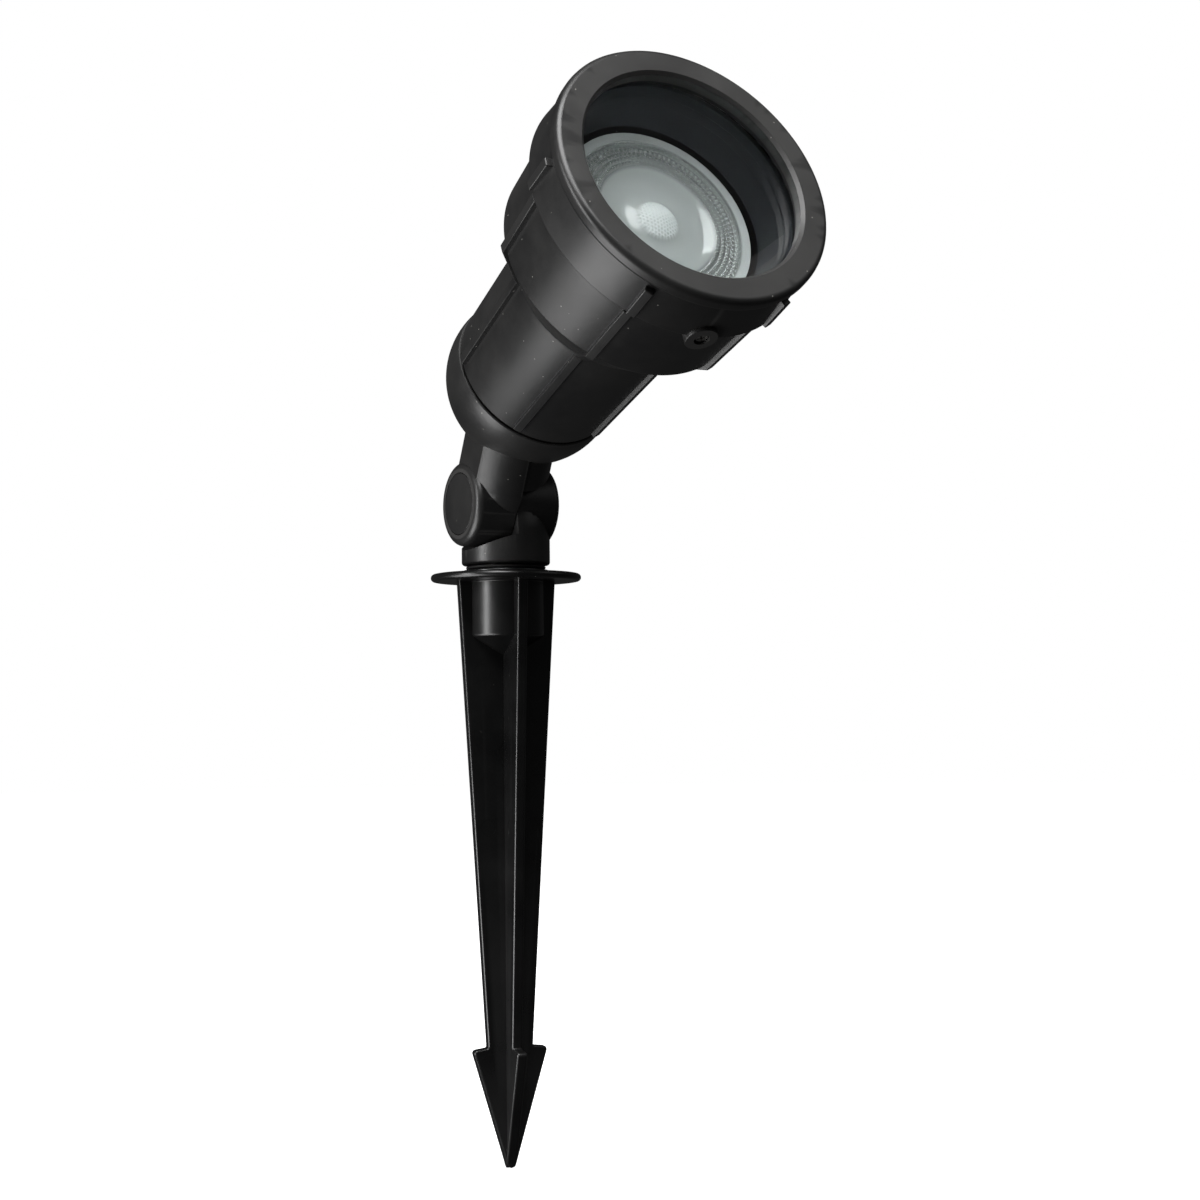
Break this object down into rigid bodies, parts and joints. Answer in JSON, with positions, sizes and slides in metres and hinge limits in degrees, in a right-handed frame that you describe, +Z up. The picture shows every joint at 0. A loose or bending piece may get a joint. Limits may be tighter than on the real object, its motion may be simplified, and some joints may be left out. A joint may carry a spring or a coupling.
{
  "type": "garden spike light",
  "caption": "Round-nosed outdoor spotlight on a swivelling knuckle and a barbed, finned ground spike, with a ribbed body, glass front and reflector lamp.",
  "frame": {"origin": "centre of the underside of the spike's flange, which rests on the ground", "axes": "+Z up along the spike; the knuckle's pin lies along X; the head leans towards -Y"},
  "size_m": [0.073, 0.1306, 0.2745],
  "materials": {
    "black_spike_plastic": "satin",
    "black_body_plastic": "satin",
    "black_liner": "matte",
    "seal_rubber": "matte",
    "steel": "satin",
    "clear_glass": "gloss",
    "clear_lens": "gloss",
    "white_shell": "satin",
    "circuit_board": "satin",
    "white_board": "satin",
    "led_yellow": "matte",
    "black_can": "satin",
    "ceramic": "matte",
    "brass": "satin",
    "brown_wire": "satin",
    "blue_wire": "satin"
  },
  "bodies": {
    "spike": {"ground_spike": "black_spike_plastic"},
    "swivel": {"swivel_base": "black_body_plastic", "stem_seal_ring": "seal_rubber", "stem_snap_ring": "steel", "cable_seal": "seal_rubber", "pivot_washer": "steel", "pivot_bolt": "steel", "bolt_plug": "black_body_plastic", "friction_washer": "steel", "knuckle_seal": "seal_rubber"},
    "head": {"rear_dome": "black_body_plastic", "nut_cover": "black_body_plastic", "head_body": "black_body_plastic", "front_cap": "black_body_plastic", "glare_liner": "black_liner", "dome_gasket": "seal_rubber", "glass_gasket": "seal_rubber", "cap_gasket": "seal_rubber", "pivot_nut": "steel", "dome_screw_1": "steel", "dome_screw_2": "steel", "dome_screw_3": "steel", "cap_screw_upper": "steel", "cap_screw_lower": "steel", "holder_bracket": "steel", "holder_screw_1": "steel", "holder_screw_2": "steel", "bracket_screw_1": "steel", "bracket_screw_2": "steel", "glass_cover": "clear_glass", "terminal_block": "white_shell", "lampholder": "ceramic", "contact_live": "brass", "contact_neutral": "brass", "lead_live": "brown_wire", "lead_neutral": "blue_wire"},
    "lamp": {"lamp_lens": "clear_lens", "lamp_shell": "white_shell", "led_chip": "led_yellow", "led_board": "white_board", "driver_board": "circuit_board", "driver_capacitor": "black_can", "lamp_base": "ceramic", "lamp_pin_live": "brass", "lamp_pin_neutral": "brass"}
  },
  "joints": [
    {"name": "swivel", "type": "hinge", "parent": "spike", "child": "swivel", "pos_m": [0, 0, 0], "axis": [0, 0, 1], "range_deg": [-175, 175]},
    {"name": "tilt", "type": "hinge", "parent": "swivel", "child": "head", "pos_m": [0, 0, 0.0203], "axis": [1, 0, 0], "range_deg": [-90, 38]},
    {"name": "lamp_twist", "type": "hinge", "parent": "head", "child": "lamp", "pos_m": [0, -0.01585, 0.05229], "axis": [0, -0.9135, 0.4067], "range_deg": [0, 25]}
  ]
}
